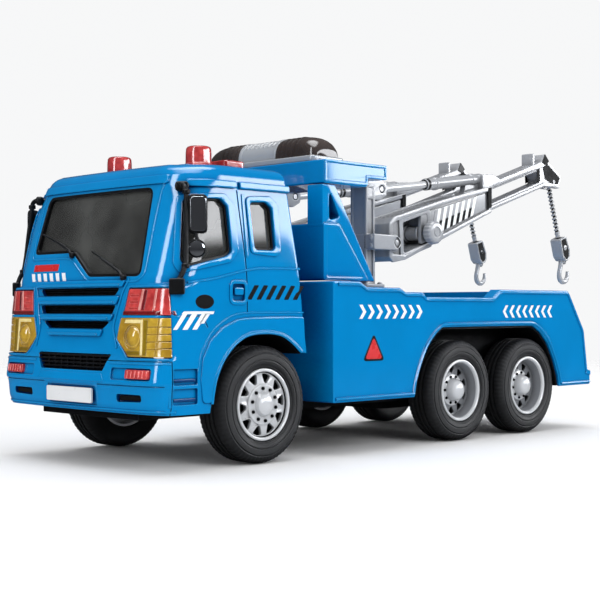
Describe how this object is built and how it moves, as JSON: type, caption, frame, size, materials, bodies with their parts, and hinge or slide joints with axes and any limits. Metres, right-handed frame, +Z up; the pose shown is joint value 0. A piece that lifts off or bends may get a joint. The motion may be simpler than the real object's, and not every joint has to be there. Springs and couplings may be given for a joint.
{
  "type": "toy tow truck",
  "caption": "Friction-driven toy tow truck with a smoked-glass cab, roof light bar, and twin luffing recovery booms with winches and hooks",
  "frame": {"origin": "on the ground, under the middle of the bounding box", "axes": "+Z up, the truck faces -Y, its own left side is +X"},
  "size_m": [0.1234, 0.3323, 0.154],
  "materials": {
    "blue_body": "glossy bright blue injection-moulded plastic",
    "black_plastic": "black plastic, satin to gloss",
    "tyre_rubber": "soft dark grey rubber-like vinyl, matt",
    "rim_silver": "pale silver-grey plastic, satin",
    "boom_silver": "light silver-grey plastic, satin",
    "smoked_clear": "smoked transparent plastic",
    "dome_smoke": "dark brown smoked transparent plastic",
    "red_lens": "red transparent plastic",
    "amber_lens": "amber transparent plastic",
    "white_plastic": "white plastic",
    "steel": "bright drawn steel",
    "gear_nylon": "cream acetal or nylon",
    "interior_grey": "dark grey moulded plastic"
  },
  "bodies": {
    "chassis": {"chassis_base": "black_plastic", "cab_shell": "blue_body", "cab_glazing": "smoked_clear", "cab_interior": "interior_grey", "steering_wheel": "black_plastic", "front_bumper": "blue_body", "grille_insert": "black_plastic", "headlamp_red_left": "red_lens", "headlamp_red_right": "red_lens", "headlamp_amber_left": "amber_lens", "headlamp_amber_right": "amber_lens", "indicator_left": "red_lens", "indicator_right": "red_lens", "number_plate": "white_plastic", "windscreen_wiper_left": "black_plastic", "windscreen_wiper_right": "black_plastic", "roof_beacon_left": "red_lens", "roof_beacon_right": "red_lens", "side_mirror_left": "black_plastic", "side_mirror_right": "black_plastic", "rear_body": "blue_body", "headboard": "blue_body", "cross_beam": "blue_body", "light_bar_base": "white_plastic", "light_bar_lens_left": "dome_smoke", "light_bar_lens_right": "dome_smoke", "light_bar_centre": "white_plastic", "mast_left": "boom_silver", "mast_right": "boom_silver", "motor_case": "gear_nylon", "sound_module": "interior_grey", "battery_door": "black_plastic"},
    "front_wheels": {"front_axle": "steel", "front_rim_left": "rim_silver", "front_rim_right": "rim_silver", "front_tyre_left": "tyre_rubber", "front_tyre_right": "tyre_rubber"},
    "middle_wheels": {"middle_axle": "steel", "middle_rim_left": "rim_silver", "middle_rim_right": "rim_silver", "middle_tyre_left": "tyre_rubber", "middle_tyre_right": "tyre_rubber", "drive_gear": "gear_nylon"},
    "rear_wheels": {"rear_axle": "steel", "rear_rim_left": "rim_silver", "rear_rim_right": "rim_silver", "rear_tyre_left": "tyre_rubber", "rear_tyre_right": "tyre_rubber"},
    "motor_flywheel": {"flywheel": "steel"},
    "roof_button": {"sound_button": "red_lens"},
    "recovery_boom_left": {"boom_left": "boom_silver"},
    "ram_left": {"ram_rod_left": "steel"},
    "winch_spool_left": {"winch_left": "boom_silver"},
    "hoist_line_left": {"line_left": "steel"},
    "tow_hook_left": {"hook_left": "boom_silver"},
    "recovery_boom_right": {"boom_right": "boom_silver"},
    "ram_right": {"ram_rod_right": "steel"},
    "winch_spool_right": {"winch_right": "boom_silver"},
    "hoist_line_right": {"line_right": "steel"},
    "tow_hook_right": {"hook_right": "boom_silver"}
  },
  "joints": [
    {"name": "front_axle_spin", "type": "hinge", "parent": "chassis", "child": "front_wheels", "pos_m": [0, -0.10495, 0.025], "axis": [1, 0, 0], "continuous": true},
    {"name": "middle_axle_spin", "type": "hinge", "parent": "chassis", "child": "middle_wheels", "pos_m": [0, 0.03045, 0.025], "axis": [1, 0, 0], "continuous": true},
    {"name": "rear_axle_spin", "type": "hinge", "parent": "chassis", "child": "rear_wheels", "pos_m": [0, 0.08815, 0.025], "axis": [1, 0, 0], "continuous": true},
    {"name": "flywheel_spin", "type": "hinge", "parent": "chassis", "child": "motor_flywheel", "pos_m": [0, 0.03745, 0.03309], "axis": [1, 0, 0], "continuous": true},
    {"name": "sound_button_press", "type": "slide", "parent": "chassis", "child": "roof_button", "axis": [0, 0, 1], "range_m": [-0.0015, 0]},
    {"name": "boom_left_luff", "type": "hinge", "parent": "chassis", "child": "recovery_boom_left", "pos_m": [0.03, -0.00095, 0.098], "axis": [1, 0, 0], "range_deg": [-6, 8]},
    {"name": "ram_left_tilt", "type": "hinge", "parent": "chassis", "child": "ram_left", "pos_m": [0.03, -0.00595, 0.1243], "axis": [1, 0, 0], "range_deg": [-6, 8]},
    {"name": "winch_left_turn", "type": "hinge", "parent": "recovery_boom_left", "child": "winch_spool_left", "pos_m": [0.03, 0.02475, 0.1039], "axis": [1, 0, 0], "range_deg": [0, 180]},
    {"name": "line_left_swing", "type": "hinge", "parent": "recovery_boom_left", "child": "hoist_line_left", "pos_m": [0.03, 0.14465, 0.1386], "axis": [1, 0, 0], "range_deg": [-10, 14]},
    {"name": "hook_left_hoist", "type": "slide", "parent": "hoist_line_left", "child": "tow_hook_left", "axis": [0, -0.318, 0.9481], "range_m": [0, 0.0094]},
    {"name": "boom_right_luff", "type": "hinge", "parent": "chassis", "child": "recovery_boom_right", "pos_m": [-0.03, -0.00095, 0.098], "axis": [1, 0, 0], "range_deg": [-6, 8]},
    {"name": "ram_right_tilt", "type": "hinge", "parent": "chassis", "child": "ram_right", "pos_m": [-0.03, -0.00595, 0.1243], "axis": [1, 0, 0], "range_deg": [-6, 8]},
    {"name": "winch_right_turn", "type": "hinge", "parent": "recovery_boom_right", "child": "winch_spool_right", "pos_m": [-0.03, 0.02475, 0.1039], "axis": [1, 0, 0], "range_deg": [0, 180]},
    {"name": "line_right_swing", "type": "hinge", "parent": "recovery_boom_right", "child": "hoist_line_right", "pos_m": [-0.03, 0.14465, 0.1386], "axis": [1, 0, 0], "range_deg": [-10, 14]},
    {"name": "hook_right_hoist", "type": "slide", "parent": "hoist_line_right", "child": "tow_hook_right", "axis": [0, -0.318, 0.9481], "range_m": [0, 0.0094]}
  ],
  "couplings": [
    {"joint": "flywheel_spin", "follows": "middle_axle_spin", "ratio": -2},
    {"joint": "ram_left_tilt", "follows": "boom_left_luff", "ratio": 0.985},
    {"joint": "winch_left_turn", "follows": "hook_left_hoist", "rad_per_m": 333.33},
    {"joint": "ram_right_tilt", "follows": "boom_right_luff", "ratio": 0.985},
    {"joint": "winch_right_turn", "follows": "hook_right_hoist", "rad_per_m": 333.33}
  ]
}
